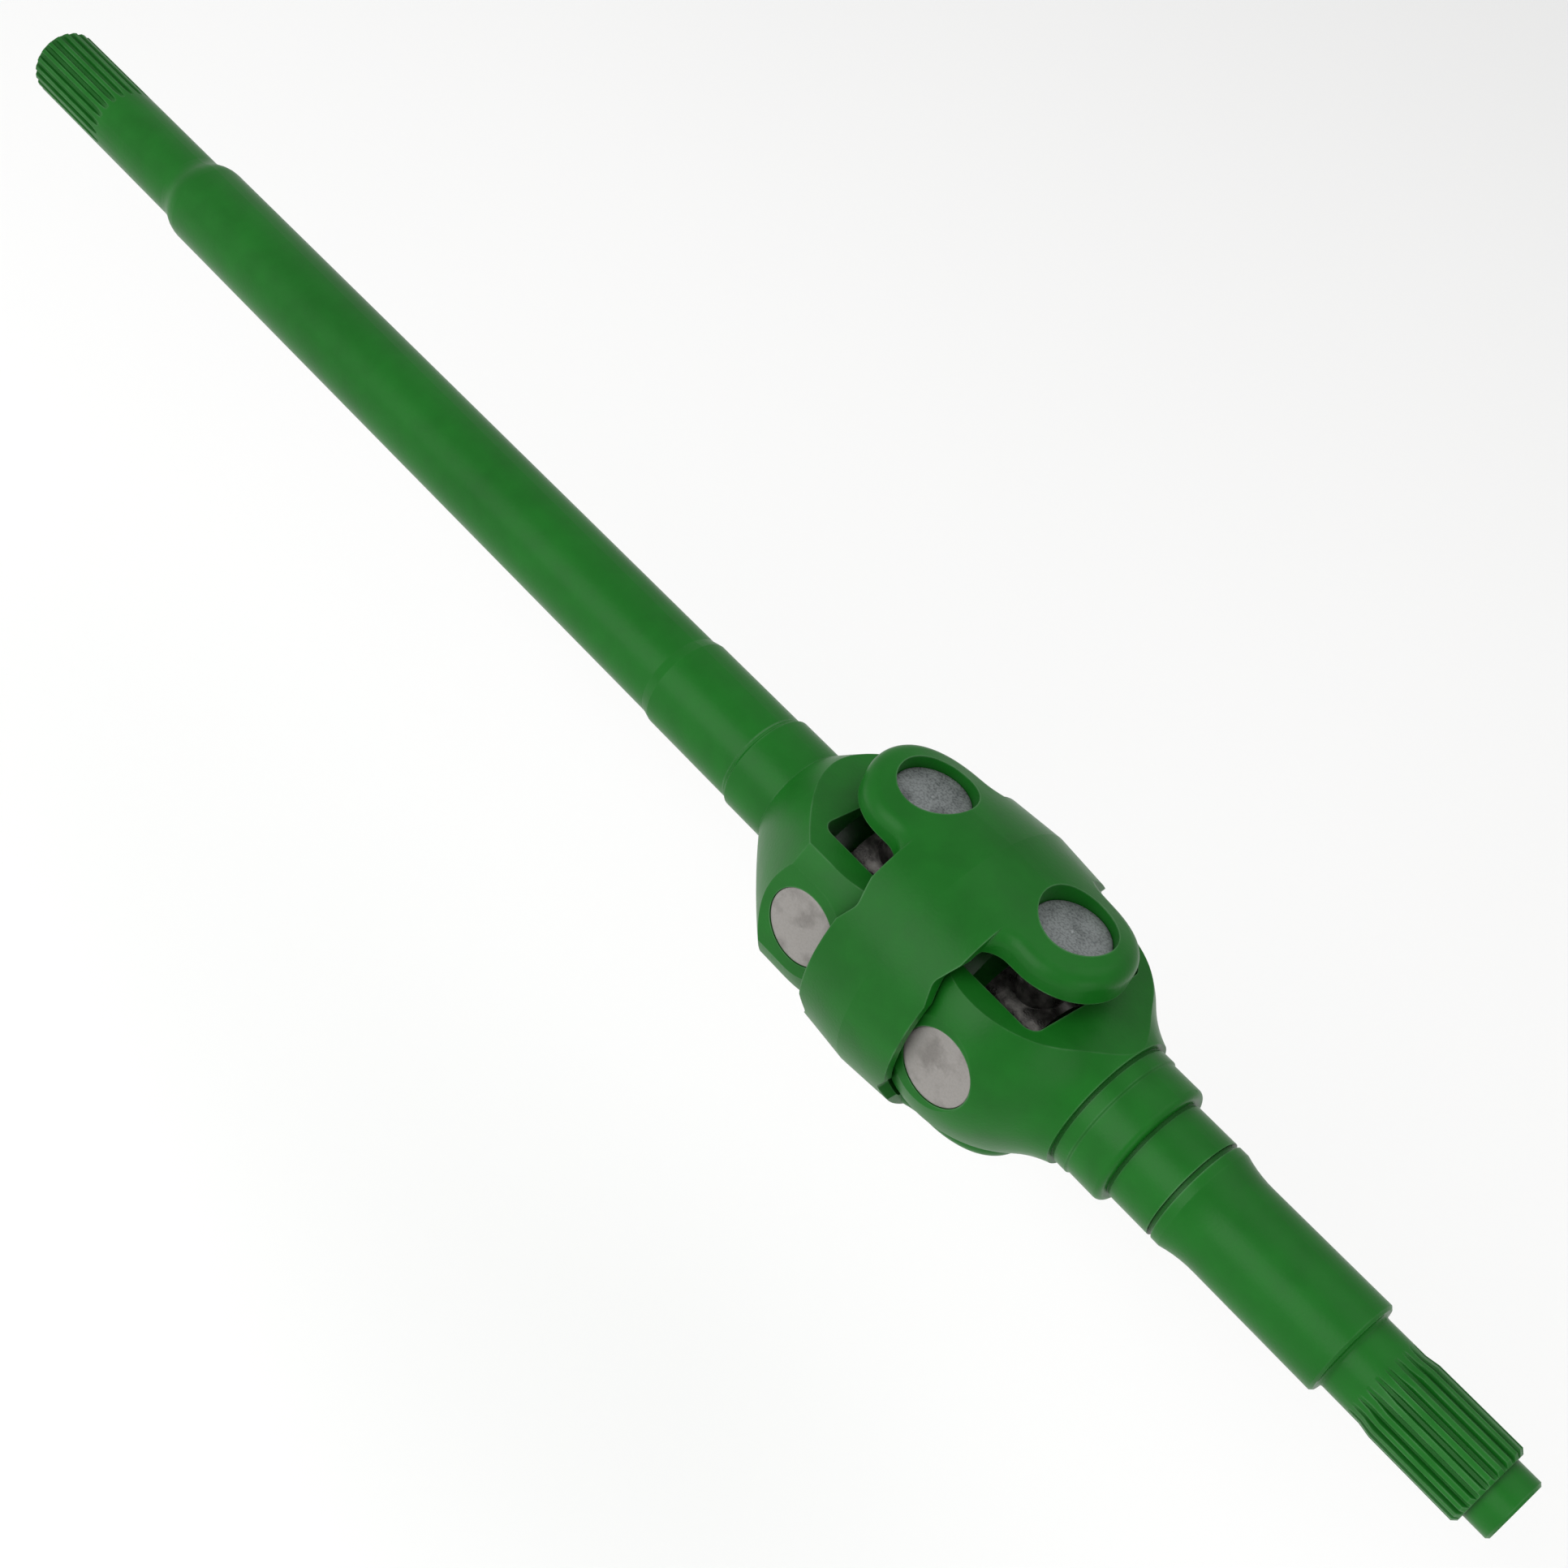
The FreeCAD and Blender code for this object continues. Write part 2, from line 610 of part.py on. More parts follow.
def round_lugs(body):
    """Round the edges between the lugs' sides and their outer faces."""
    base = body.Tip
    bore = Vector(value(HALF_SPACING), 0, 0)
    margin = 1.0
    names = []
    for number, edge in enumerate(base.Shape.Edges, start=1):
        box = edge.BoundBox
        middle = edge.valueAt((edge.FirstParameter + edge.LastParameter) / 2)
        from_bore = (Vector(abs(middle.x), middle.y, 0) - bore).Length
        beyond_ring = min(abs(box.XMin), abs(box.XMax)) > value("sizes.ring_width / 2") + margin
        on_outside = min(abs(box.ZMin), abs(box.ZMax)) > value("sizes.clip_seat")
        if beyond_ring and on_outside and from_bore > value("sizes.cup_diameter / 2") + margin:
            if box.XLength > margin:
                names.append(f"Edge{number}")
    rounding = body.newObject("PartDesign::Fillet", "lug_rounding")
    rounding.Base = (base, names)
    rounding.setExpression("Radius", "sizes.lug_edge_radius")
    doc.recompute()


def make_centre_yoke():
    """The yoke blank, hollowed by two spheres about the cross centres so that the forks can swing.
    A boss round each cup bore keeps the face that the clip sits on."""
    blank = make_yoke_blank()
    tools = []
    bosses = []
    for name, sign in (("wheel", ""), ("axle", "-")):
        centre = f"{sign}{HALF_SPACING}"
        sphere = doc.addObject("Part::Sphere", f"{name}_hollow")
        sphere.setExpression("Radius", SWING_RADIUS)
        place(sphere, (centre, "0", "0"))
        slab = doc.addObject("Part::Box", f"{name}_slab")
        slab.setExpression("Length", f"2 * {FAR}")
        slab.setExpression("Width", f"2 * {FAR}")
        slab.setExpression("Height", "sizes.lug_inner_span")
        place(slab, (f"{centre} - {FAR}", f"-{FAR}", "-sizes.lug_inner_span / 2"))
        hollow = doc.addObject("Part::MultiCommon", f"{name}_hollow_between_lugs")
        hollow.Shapes = [sphere, slab]
        tools.append(hollow)

        for side, up in (("top", 0), ("bottom", 180)):
            boss = doc.addObject("Part::Cylinder", f"{name}_{side}_boss")
            boss.setExpression("Radius", f"{CLIP_RADIUS} + sizes.boss_rim")
            boss.setExpression("Height", "sizes.cross_span / 2 - sizes.clip_seat")
            shift = "sizes.clip_seat" if up == 0 else "-sizes.clip_seat"
            place(boss, (centre, "0", shift), Rotation(Vector(1, 0, 0), up))
            bosses.append(boss)
    hollows = doc.addObject("Part::MultiFuse", "hollows")
    hollows.Shapes = tools
    boss_set = doc.addObject("Part::Compound", "clip_bosses")
    boss_set.Links = bosses
    spared = doc.addObject("Part::Cut", "hollows_sparing_bosses")
    spared.Base = hollows
    spared.Tool = boss_set
    yoke = doc.addObject("Part::Cut", "centre_yoke")
    yoke.Label = "centre_yoke"
    yoke.Base = blank
    yoke.Tool = spared
    doc.recompute()
    place(yoke, (JOINT_CENTRE, "0", "0"))


# Crosses and their bearings

def make_cross(label, centre):
    """A four-armed cross in the plane across the shaft, with an oilway through each pair of arms."""
    body = new_body(label)
    hub = new_sketch(body, "hub_sketch", "YZ_Plane")
    circle(hub, "0", "0", "sizes.hub_diameter / 2")
    pad(body, "hub", hub, "sizes.hub_width")
    for name, role in (("arms_along_y", "XZ_Plane"), ("arms_along_z", "XY_Plane")):
        arms = new_sketch(body, name + "_sketch", role)
        circle(arms, "0", "0", "sizes.arm_diameter / 2")
        pad(body, name, arms, "sizes.arm_span")
        ends = new_sketch(body, name + "_trunnions_sketch", role)
        circle(ends, "0", "0", "sizes.trunnion_diameter / 2")
        pad(body, name + "_trunnions", ends, f"2 * {TRUNNION_END}")
    for name, role in (("oilway_y", "XZ_Plane"), ("oilway_z", "XY_Plane")):
        hole = new_sketch(body, name + "_sketch", role)
        circle(hole, "0", "0", "sizes.oilway_diameter / 2")
        pocket(body, name, hole)
    nipple_hole = new_sketch(body, "nipple_hole_sketch", "XY_Plane")
    nipple_hole.AttachmentOffset = Placement(Vector(), NOTCH)
    doc.recompute()
    circle(nipple_hole, "0", "0", "sizes.nipple_thread / 2")
    pocket(body, "nipple_hole", nipple_hole, "sizes.nipple_reach", reversed_way=True)
    place(body, (centre, "0", "0"))


def make_nipple(label, centre):
    """A grease nipple in the notch between two arms."""
    body = new_body(label)
    thread = "(sizes.nipple_thread / 2)"
    foot = "(sizes.hub_diameter / 2 - sizes.nipple_depth)"
    seat = "(sizes.hub_diameter / 2 + sizes.swing_gap / 4)"
    collar = f"({seat} + sizes.nipple_collar_height)"
    taper = "(sizes.nipple_collar - sizes.nipple_neck) / 4"
    lean = "(sizes.nipple_head - sizes.nipple_neck) / 2"
    revolve(body, "blank", [
        ("0", foot),
        (thread, foot),
        (thread, seat),
        ("sizes.nipple_collar / 2", seat),
        ("sizes.nipple_collar / 2", collar),
        ("sizes.nipple_neck / 2", f"{collar} + {taper}"),
        ("sizes.nipple_neck / 2", f"sizes.nipple_reach - 3 * {lean}"),
        ("sizes.nipple_head / 2", f"sizes.nipple_reach - 2 * {lean}"),
        ("sizes.nipple_neck / 2", "sizes.nipple_reach"),
        ("0", "sizes.nipple_reach"),
    ], axis="V_Axis")
    place(body, (centre, "0", "0"), NOTCH)


def make_seals(label, centre):
    """Four ring seals, one against each trunnion's shoulder inside the cup's mouth."""
    start = value("sizes.arm_span / 2")
    height = value("sizes.seal_height")
    inner = value("sizes.trunnion_diameter / 2")
    outer = value(f"{RACE_RADIUS} - sizes.seal_play")
    make_four(label, centre, start, height, inner, outer)


def make_washers(label, centre):
    """Four thrust washers, one between each trunnion's end and the floor of its cup."""
    start = value(f"{TRUNNION_END} + sizes.end_play")
    height = value("sizes.washer_thickness")
    make_four(label, centre, start, height, value("sizes.washer_hole / 2"),
              value("sizes.washer_diameter / 2"))


def make_four(label, centre, start, height, inner, outer):
    """The same ring on all four arms of a cross, as one set."""
    rings = []
    for angle in range(0, 360, 90):
        along = Vector(0, 0, 1)
        ring = Part.makeCylinder(outer, height, along * start, along)
        ring = ring.cut(Part.makeCylinder(inner, height, along * start, along))
        ring.rotate(Vector(), Vector(1, 0, 0), angle)
        rings.append(ring)
    feature = doc.addObject("Part::Feature", label)
    feature.Label = label
    feature.Shape = Part.makeCompound(rings)
    place(feature, (centre, "0", "0"))


# Each bearing is built standing up, with its cross centre at the origin and its cup's floor on top
BEARINGS = {
    "top": Rotation(),
    "bottom": Rotation(Vector(1, 0, 0), 180),
    "front": Rotation(Vector(1, 0, 0), 90),
    "back": Rotation(Vector(1, 0, 0), -90),
}


def make_cup(label, centre, rotation):
    """A drawn bearing cup with a clip groove outside and a floor at its outer end."""
    body = new_body(label)
    groove_top = "sizes.clip_seat"
    groove_foot = "(sizes.clip_seat - sizes.clip_thickness)"
    radius = "(sizes.cup_diameter / 2)"
    revolve(body, "blank", [
        (RACE_RADIUS, CUP_MOUTH),
        (f"{radius} - sizes.cup_chamfer", CUP_MOUTH),
        (radius, f"{CUP_MOUTH} + sizes.cup_chamfer"),
        (radius, groove_foot),
        (f"{radius} - sizes.clip_depth", groove_foot),
        (f"{radius} - sizes.clip_depth", groove_top),
        (radius, groove_top),
        (radius, f"{CUP_END} - sizes.cup_chamfer"),
        (f"{radius} - sizes.cup_chamfer", CUP_END),
        ("0", CUP_END),
        ("0", f"{CUP_END} - sizes.cup_floor"),
        (RACE_RADIUS, f"{CUP_END} - sizes.cup_floor"),
    ], axis="V_Axis")
    place(body, (centre, "0", "0"), rotation)


def make_needles(label, centre, rotation):
    """The full set of rollers between one trunnion and its cup."""
    radius = value("sizes.needle_diameter / 2")
    orbit = value("sizes.trunnion_diameter / 2 + sizes.needle_play + sizes.needle_diameter / 2")
    start = value(NEEDLE_START)
    count = round(value("sizes.needle_count"))
    rollers = []
    for number in range(count):
        roller = Part.makeCylinder(radius, value("sizes.needle_length"), Vector(orbit, 0, start))
        roller.rotate(Vector(), Vector(0, 0, 1), 360 * number / count)
        rollers.append(roller)
    feature = doc.addObject("Part::Feature", label)
    feature.Label = label
    feature.Shape = Part.makeCompound(rollers)
    place(feature, (centre, "0", "0"), rotation)


def clip_shape(rotation):
    """An open ring in the cup's groove, its face on the lug's inner face."""
    foot = value("sizes.clip_seat - sizes.clip_thickness")
    thickness = value("sizes.clip_thickness")
    outer = value(CLIP_RADIUS)
    inner = value("sizes.cup_diameter / 2 - sizes.clip_depth")
    opening = value("sizes.clip_opening")
    ring = Part.makeCylinder(outer, thickness, Vector(0, 0, foot))
    ring = ring.cut(Part.makeCylinder(inner, thickness, Vector(0, 0, foot)))
    gap = Part.makeBox(outer + opening, opening, thickness, Vector(0, -opening / 2, foot))
    ring = ring.cut(gap)
    ring.Placement = Placement(Vector(), rotation)
    return ring


def make_clips(label, places):
    """All the clips of one body as one set. A place is a cross centre and a bearing's name."""
    clips = []
    for centre, side in places:
        clip = clip_shape(BEARINGS[side])
        clip.translate(Vector(value(centre), 0, 0))
        clips.append(clip)
    feature = doc.addObject("Part::Feature", label)
    feature.Label = label
    feature.Shape = Part.makeCompound(clips)


def build():
    make_wheel_fork_shaft()
    make_axle_fork()
    make_axle_bar()
    make_centre_yoke()
    for end, centre in (("wheel", WHEEL_CROSS), ("axle", AXLE_CROSS)):
        make_cross(f"{end}_cross", centre)
        make_nipple(f"{end}_grease_nipple", centre)
        make_seals(f"{end}_trunnion_seals", centre)
        make_washers(f"{end}_thrust_washers", centre)
        for side, rotation in BEARINGS.items():
            make_cup(f"{end}_{side}_cup", centre, rotation)
            make_needles(f"{end}_{side}_needles", centre, rotation)
        make_clips(f"{end}_fork_clips", [(centre, "front"), (centre, "back")])
    make_clips("yoke_clips", [(centre, side) for centre in (WHEEL_CROSS, AXLE_CROSS)
                              for side in ("top", "bottom")])


def write_parts():
    """Check every object and write each sub-part to its own file."""
    doc.recompute()
    failed = [item.Label for item in doc.Objects if {"Invalid", "Error"} & set(item.State)]
    if failed:
        raise RuntimeError(f"failed objects: {failed}")
    os.makedirs("parts", exist_ok=True)
    unfinished = {"yoke_blank"}
    pieces = [
        item for item in doc.Objects
        if item.TypeId in ("PartDesign::Body", "Part::Feature") and item.Label not in unfinished
    ]
    pieces.append(doc.getObject("centre_yoke"))
    for item in pieces:
        shape = item.Shape
        if shape.isNull() or not shape.isValid():
            raise RuntimeError(f"bad shape: {item.Label}")
        shape.exportStep(f"parts/{item.Label}.step")
        print(f"{item.Label}: {len(shape.Solids)} solids, {shape.Volume / 1000:.2f} cm3")


build()
write_parts()
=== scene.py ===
"""Finishes and stage for the double universal joint shaft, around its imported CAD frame."""

import json
import math

import bmesh
import bpy
from bpy.props import FloatProperty, FloatVectorProperty, IntProperty, PointerProperty
from mathutils import Matrix, Vector


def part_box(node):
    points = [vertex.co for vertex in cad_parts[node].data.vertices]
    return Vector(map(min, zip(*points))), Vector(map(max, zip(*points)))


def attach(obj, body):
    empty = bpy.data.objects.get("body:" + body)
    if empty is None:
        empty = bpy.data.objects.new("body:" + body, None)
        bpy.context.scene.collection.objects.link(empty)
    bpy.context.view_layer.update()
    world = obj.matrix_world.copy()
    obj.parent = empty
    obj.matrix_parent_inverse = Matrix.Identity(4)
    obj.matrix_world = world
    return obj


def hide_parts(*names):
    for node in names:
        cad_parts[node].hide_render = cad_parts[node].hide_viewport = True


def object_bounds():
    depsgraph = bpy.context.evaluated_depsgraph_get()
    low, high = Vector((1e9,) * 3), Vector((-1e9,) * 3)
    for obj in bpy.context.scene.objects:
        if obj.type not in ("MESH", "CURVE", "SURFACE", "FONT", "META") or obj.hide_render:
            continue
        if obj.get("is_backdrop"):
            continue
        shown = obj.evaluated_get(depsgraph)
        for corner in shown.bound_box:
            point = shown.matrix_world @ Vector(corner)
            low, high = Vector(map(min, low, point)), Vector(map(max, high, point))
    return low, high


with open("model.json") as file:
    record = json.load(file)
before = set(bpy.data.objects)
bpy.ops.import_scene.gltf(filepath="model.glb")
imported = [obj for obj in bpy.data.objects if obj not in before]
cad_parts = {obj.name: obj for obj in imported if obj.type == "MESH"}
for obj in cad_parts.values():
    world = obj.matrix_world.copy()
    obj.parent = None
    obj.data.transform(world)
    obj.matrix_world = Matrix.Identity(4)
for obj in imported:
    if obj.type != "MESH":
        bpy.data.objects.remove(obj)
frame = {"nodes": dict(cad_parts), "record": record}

bl_info = {
    "name": "Universal joint shaft finishes",
    "version": (1, 0, 0),
    "blender": (4, 5, 0),
    "location": "View3D > Sidebar > Joint shaft",
    "description": "Paint, bearing caps, grease nipples and stage for a double universal joint shaft",
    "category": "Object",
}

MM = 0.001
UP = Vector((0, 0, 1))
SIDES = ("top", "bottom", "front", "back")
ENDS = ("wheel", "axle")
PAINTED = ("wheel_fork_shaft", "axle_fork", "axle_bar", "centre_yoke")
BODY_NODES = frame["record"]["behaviour"]["bodies"]
BODY_OF = {node: body for body, nodes in BODY_NODES.items() for node in nodes}


# Sizes and colours

class PaintSettings(bpy.types.PropertyGroup):
    colour: FloatVectorProperty(
        name="Enamel", description="Colour of the sprayed enamel", subtype="COLOR",
        default=(0.0056, 0.104, 0.0080), min=0, max=1)
    # Lighter green on edges: partly thin enamel wear, partly a painted highlight for grazing reflections
    # on rounded edges.
    edge_wear_highlight_colour: FloatVectorProperty(
        name="Thin enamel", description="Colour where the enamel is thin on an edge",
        subtype="COLOR", default=(0.075, 0.190, 0.080), min=0, max=1)
    # Width of the lighter edges, which are partly wear and partly painted highlight.
    edge_width: FloatProperty(
        name="Edge width", description="Reach of the thin enamel round an edge", unit="LENGTH",
        default=1.1 * MM)
    # Corners and gaps narrower than this reach are painted darker green: painted shade.
    crevice_reach: FloatProperty(
        name="Crevice reach", description="Gaps narrower than this hold grime", unit="LENGTH",
        default=4 * MM)
    # Darker enamel green painted into corners and crevices: painted shade, not dirt.
    crevice_shade_colour: FloatVectorProperty(
        name="Grime", description="Colour of the grime in corners", subtype="COLOR",
        default=(0.003, 0.040, 0.004), min=0, max=1)
    roughness: FloatProperty(
        name="Roughness", description="Roughness of the enamel", default=0.36, min=0, max=1)
    gloss: FloatProperty(
        name="Gloss", description="How strongly the enamel reflects", default=0.14, min=0, max=1)


class SteelSettings(bpy.types.PropertyGroup):
    cap_colour: FloatVectorProperty(
        name="Cap steel", description="Colour of the bearing caps' ends", subtype="COLOR",
        default=(0.272, 0.258, 0.243), min=0, max=1)
    stain_colour: FloatVectorProperty(
        name="Stain", description="Colour of the oil stains on the caps", subtype="COLOR",
        default=(0.150, 0.140, 0.130), min=0, max=1)
    # The caps in the centre yoke face up and down; their darker, bluer tone is painted shade.
    shaded_yoke_cap_colour: FloatVectorProperty(
        name="Yoke cap steel", description="Colour of the speckled caps in the centre yoke",
        subtype="COLOR", default=(0.225, 0.243, 0.243), min=0, max=1)
    speckle_colour: FloatVectorProperty(
        name="Speckle", description="Colour of the specks on the yoke's caps", subtype="COLOR",
        default=(0.085, 0.095, 0.095), min=0, max=1)
    forged_colour: FloatVectorProperty(
        name="Forged steel", description="Colour of the crosses", subtype="COLOR",
        default=(0.050, 0.047, 0.044), min=0, max=1)


class CapSettings(bpy.types.PropertyGroup):
    rim_round: FloatProperty(
        name="Rim round", description="Radius of a cap's outer edge", unit="LENGTH",
        default=0.55 * MM)
    dish_depth: FloatProperty(
        name="Dish", description="Depth of the shallow dish in a cap's end", unit="LENGTH",
        default=0.12 * MM)
    pip_radius: FloatProperty(
        name="Centre pip", description="Radius of the mark left by the drawing punch",
        unit="LENGTH", default=0.8 * MM)
    segments: IntProperty(
        name="Segments", description="Steps round a cap", default=96, min=24, max=192)


class StageSettings(bpy.types.PropertyGroup):
    floor_size: FloatProperty(
        name="Floor", description="Width of the floor", unit="LENGTH", default=14.0)
    floor_drop: FloatProperty(
        name="Floor drop", description="Room under the shaft, so that it can bend to its limits",
        unit="LENGTH", default=0.28)
    floor_colour: FloatVectorProperty(
        name="Floor colour", description="Colour of the floor", subtype="COLOR",
        default=(0.95, 0.95, 0.945), min=0, max=1)
    camera_place: FloatVectorProperty(
        name="Camera", description="Where the camera stands", subtype="TRANSLATION",
        default=(0.157355, -0.583653, 0.569575))
    camera_aim: FloatVectorProperty(
        name="Aim", description="Direction that the camera looks in", subtype="XYZ",
        default=(-0.39371, 0.65731, -0.64260))
    camera_up: FloatVectorProperty(
        name="Up", description="Direction of the picture's upper edge", subtype="XYZ",
        default=(-0.65015, 0.29507, 0.70017))
    lens: FloatProperty(name="Lens", description="Focal length in mm", default=54.746)


# Node trees

NEAR_RAYS = 6  # samples of the edge and crevice masks
EDGE_GAIN = 6  # how fast the edge mask rises as a rounded normal leans
CAP_ROUGHNESS = 0.44
FORGED_ROUGHNESS = 0.32
POLISHED = (0.60, 0.60, 0.61)
PHOSPHATED = (0.10, 0.10, 0.105)
PLATED = (0.56, 0.52, 0.40)
NITRILE = (0.012, 0.012, 0.012)
BLOOM = (0.03, 0.03, 0.032)


class Socket:
    """A shader value that can be used in Python arithmetic."""

    def __init__(self, maker, socket):
        self.maker = maker
        self.socket = socket

    def _math(self, operation, *values):
        return self.maker.add("ShaderNodeMath", {"operation": operation}, dict(enumerate(values)))

    def __add__(self, other):
        return self._math("ADD", self, other)

    def __radd__(self, other):
        return self._math("ADD", other, self)

    def __sub__(self, other):
        return self._math("SUBTRACT", self, other)

    def __rsub__(self, other):
        return self._math("SUBTRACT", other, self)

    def __mul__(self, other):
        return self._math("MULTIPLY", self, other)

    def __rmul__(self, other):
        return self._math("MULTIPLY", other, self)

    def clamp(self, low=0.0, high=1.0):
        return self.maker.add("ShaderNodeClamp", {}, {0: self, 1: low, 2: high})


class Finish:
    """One node material, with the calls that its pattern is written in."""

    def __init__(self, name, colour, roughness, metallic=0.0):
        self.material = bpy.data.materials.new(name)
        self.material.use_nodes = True
        self.material.diffuse_color = (*colour, 1)
        self.tree = self.material.node_tree
        self.shader = self.tree.nodes["Principled BSDF"]
        self.set("Base Color", (*colour, 1))
        self.set("Roughness", roughness)
        self.set("Metallic", metallic)
        self.place = self.add("ShaderNodeTexCoord", {}, {}, "Object")

    def set(self, name, value):
        """A constant goes on the shader's own socket, and a pattern is linked to it."""
        socket = self.shader.inputs[name]
        if isinstance(value, Socket):
            self.tree.links.new(value.socket, socket)
        else:
            socket.default_value = value

    def add(self, kind, settings, values, output=0):
        """A node with its settings, then the values or links of its sockets."""
        node = self.tree.nodes.new(kind)
        for name, setting in settings.items():
            if name == "stops":
                ramp_stops(node.color_ramp, setting)
            else:
                setattr(node, name, setting)
        for key, value in values.items():
            if isinstance(value, Socket):
                self.tree.links.new(value.socket, node.inputs[key])
            else:
                node.inputs[key].default_value = value
        return Socket(self, node.outputs[output])

    def noise(self, size, detail=3.0, stretch=(1, 1, 1)):
        """Cloudy noise whose spots are about size metres wide, stretched along an axis."""
        place = self.add("ShaderNodeMapping", {}, {"Vector": self.place, "Scale": stretch})
        return self.add("ShaderNodeTexNoise", {}, {"Vector": place, "Scale": 1 / size, "Detail": detail})

    def ramp(self, value, *stops):
        return self.add("ShaderNodeValToRGB", {"stops": stops}, {"Fac": value})

    def blend(self, factor, first, second):
        """From one colour to another."""
        colours = [c if isinstance(c, Socket) else (*c, 1) for c in (first, second)]
        return self.add("ShaderNodeMix", {"data_type": "RGBA"},
                        {0: factor, 6: colours[0], 7: colours[1]}, 2)

    def edges(self, width):
        """Near 1 on an edge and 0 on open surfaces, from how far a rounded normal would lean."""
        rounded = self.rounded_normal(width)
        true = self.add("ShaderNodeNewGeometry", {}, {}, "Normal")
        agree = self.add("ShaderNodeVectorMath", {"operation": "DOT_PRODUCT"},
                         {0: rounded, 1: true}, "Value")
        return (1 - agree) * EDGE_GAIN

    def open_air(self, reach):
        """1 on open surfaces, falling in corners and gaps narrower than reach."""
        return self.add("ShaderNodeAmbientOcclusion", {"samples": NEAR_RAYS}, {"Distance": reach}, "AO")

    def rounded_normal(self, radius):
        """The surface's normal with its edges rounded to a radius."""
        return self.add("ShaderNodeBevel", {"samples": NEAR_RAYS}, {"Radius": radius})

    def bump(self, height, depth, radius=None):
        """Relief, depth metres deep, on top of edges rounded to a small radius."""
        values = {"Height": height, "Distance": depth, "Strength": 1.0}
        if radius:
            values["Normal"] = self.rounded_normal(radius)
        self.set("Normal", self.add("ShaderNodeBump", {}, values))


def ramp_stops(ramp, stops):
    """Set a colour ramp to (position, grey) stops."""
    while len(ramp.elements) < len(stops):
        ramp.elements.new(1.0)
    for element, (position, grey) in zip(ramp.elements, stops):
        element.position = position
        element.color = (grey, grey, grey, 1)


def enamel(settings):
    """Satin green enamel, sprayed on over forged and turned steel, with painted shade in its crevices
    and lighter edges that are partly wear and partly painted highlight.
    """
    finish = Finish("green_enamel", settings.colour, settings.roughness)
    cloud = finish.noise(90 * MM, 4)
    film = finish.noise(12 * MM, 3)
    peel = finish.noise(1.2 * MM, 2)
    grain = finish.noise(0.35 * MM, 2)
    shade = (cloud * 0.6 + film * 0.4).clamp()
    dark = tuple(c * 0.86 for c in settings.colour)
    light = tuple(c * 1.16 for c in settings.colour)
    tone = finish.blend(finish.ramp(shade, (0.35, 0.0), (0.65, 1.0)), dark, light)
    air = finish.open_air(settings.crevice_reach)
    # Painted shade: the enamel turns darker green, in patches, in corners and crevices where ambient
    # occlusion finds little open air.
    crevice_shade = finish.ramp(air, (0.35, 0.75), (0.85, 0.0)) * finish.ramp(film, (0.3, 0.6), (0.7, 1.0))
    tone = finish.blend(crevice_shade, tone, settings.crevice_shade_colour)
    # Lighter green on open edges: partly thin enamel wear, partly a painted highlight for grazing
    # reflections.
    outer = finish.ramp(air, (0.60, 0.0), (0.85, 1.0))
    worn_and_highlit = finish.edges(settings.edge_width) * outer * finish.ramp(film, (0.40, 0.15), (0.64, 0.9))
    finish.set("Base Color", finish.blend(worn_and_highlit.clamp(0, 0.8), tone, settings.edge_wear_highlight_colour))
    finish.set("Roughness", (film - 0.5) * 0.16 + (grain - 0.5) * 0.10 + settings.roughness)
    finish.set("Specular IOR Level", settings.gloss)
    finish.bump(peel * 0.8 + grain * 0.2, 0.06 * MM, radius=0.35 * MM)
    return finish.material


def cap_steel(name, colour, stain_colour, speckle):
    """Ground cap steel with oil stains, fine scratches and more or less speckle."""
    finish = Finish(name, colour, CAP_ROUGHNESS, metallic=0.55)
    stain = finish.ramp(finish.noise(8 * MM, 5), (0.47, 0.0), (0.68, 1.0))
    speck = finish.ramp(finish.noise(0.9 * MM, 4), (0.44, 0.0), (0.62, 1.0))
    scratch = finish.noise(0.9 * MM, 2, (1, 0.06, 0.06))
    grain = finish.noise(0.25 * MM, 2)
    finish.set("Base Color", finish.blend((stain * 0.55 + speck * speckle).clamp(), colour,
                                          stain_colour))
    finish.set("Roughness", stain * 0.16 + (scratch - 0.5) * 0.2 + CAP_ROUGHNESS)
    finish.bump(scratch * 0.6 + grain * 0.4, 0.03 * MM, radius=0.2 * MM)
    return finish.material


def forged_steel(settings):
    """Dark forged steel with a film of grease."""
    finish = Finish("forged_steel", settings.forged_colour, FORGED_ROUGHNESS, metallic=0.7)
    scale = finish.noise(4 * MM, 5)
    grain = finish.noise(0.6 * MM, 3)
    bright = tuple(c * 3.4 for c in settings.forged_colour)
    finish.set("Base Color", finish.blend(finish.ramp(scale, (0.42, 0.0), (0.70, 1.0)),
                                          settings.forged_colour, bright))
    finish.set("Roughness", (scale - 0.5) * 0.4 + FORGED_ROUGHNESS)
    finish.bump(scale * 0.5 + grain * 0.5, 0.18 * MM, radius=0.4 * MM)
    return finish.material


def machined_steel(name, colour, roughness, spot, metallic=1.0):
    """Steel with fine machining marks; spot is the size of its cloudiness."""
    finish = Finish(name, colour, roughness, metallic)
    cloud = finish.noise(spot, 3)
    mark = finish.noise(0.4 * MM, 2)
    dull = tuple(c * 0.7 for c in colour)
    finish.set("Base Color", finish.blend(finish.ramp(cloud, (0.4, 0.0), (0.62, 1.0)), colour, dull))
    finish.set("Roughness", (cloud - 0.5) * 0.2 + (mark - 0.5) * 0.1 + roughness)
    finish.bump(mark, 0.01 * MM)
    return finish.material


